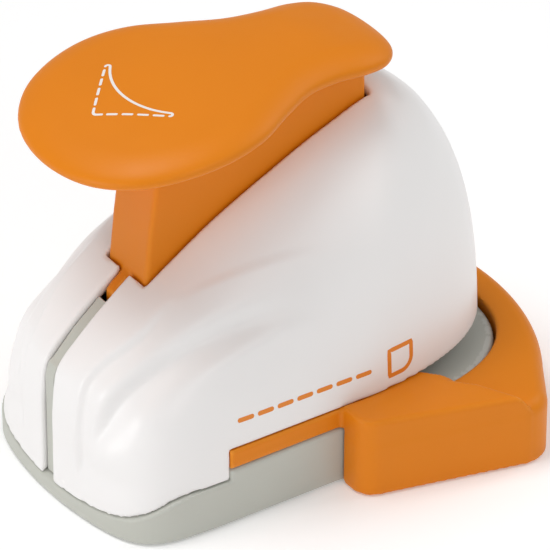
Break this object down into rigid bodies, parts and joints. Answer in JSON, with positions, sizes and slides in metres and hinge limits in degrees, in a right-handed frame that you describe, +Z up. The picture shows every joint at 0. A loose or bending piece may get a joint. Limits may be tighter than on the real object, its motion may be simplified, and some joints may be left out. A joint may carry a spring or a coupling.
{
  "type": "corner rounder punch",
  "caption": "Hand lever punch for rounding paper corners, with a slotted housing, palm lever and wrap-around corner guide.",
  "frame": {"origin": "on the table plane, in the middle of the overall length and width", "axes": "+X towards the back where the paper goes in, +Y across, +Z up; XZ is the mirror plane at rest"},
  "size_m": [0.12, 0.1014, 0.0965],
  "materials": {
    "grey_plastic": "satin",
    "white_plastic": "glossy",
    "orange_plastic": "satin",
    "rubber": "matt",
    "dark_plastic": "matt",
    "bush_plastic": "satin",
    "tool_steel": "ground",
    "screw_steel": "zinc plated",
    "spring_steel": "drawn"
  },
  "bodies": {
    "frame": {"base_shell": "grey_plastic", "bottom_cover": "grey_plastic", "chassis": "dark_plastic", "chassis_screw_1": "screw_steel", "chassis_screw_2": "screw_steel", "corner_guide": "orange_plastic", "cover_screw_1": "screw_steel", "cover_screw_2": "screw_steel", "cover_screw_3": "screw_steel", "cover_screw_4": "screw_steel", "die_plate": "tool_steel", "die_screw_1": "screw_steel", "die_screw_2": "screw_steel", "die_screw_3": "screw_steel", "die_screw_4": "screw_steel", "front_rib": "grey_plastic", "guide_block": "dark_plastic", "housing": "white_plastic", "housing_screw_front_1": "screw_steel", "housing_screw_front_2": "screw_steel", "housing_screw_rear_1": "screw_steel", "housing_screw_rear_2": "screw_steel", "pivot_bush_1": "bush_plastic", "pivot_bush_2": "bush_plastic", "pivot_clip_1": "spring_steel", "pivot_clip_2": "spring_steel", "pivot_pin": "spring_steel", "return_spring_1": "spring_steel", "return_spring_2": "spring_steel", "rubber_foot_1": "rubber", "rubber_foot_2": "rubber", "rubber_foot_3": "rubber", "rubber_foot_4": "rubber", "spring_post_1": "spring_steel", "spring_post_2": "spring_steel", "stripper_plate": "tool_steel"},
    "lever": {"head_screw_1": "screw_steel", "head_screw_2": "screw_steel", "lever_arm": "orange_plastic", "lever_head": "orange_plastic"},
    "punch": {"plunger": "dark_plastic", "punch_cutter": "tool_steel", "punch_screw_1": "screw_steel", "punch_screw_2": "screw_steel", "wear_plate": "spring_steel"}
  },
  "joints": [
    {"name": "lever_press", "type": "hinge", "parent": "frame", "child": "lever", "pos_m": [0.0255, 0, 0.065], "axis": [0, -1, 0], "range_deg": [0, 10]},
    {"name": "punch_stroke", "type": "slide", "parent": "frame", "child": "punch", "axis": [0, 0, -1], "range_m": [0, 0.0052], "deforming": ["return_spring_1", "return_spring_2"]}
  ],
  "couplings": [
    {"joint": "punch_stroke", "follows": "lever_press", "m_per_rad": 0.0292}
  ]
}
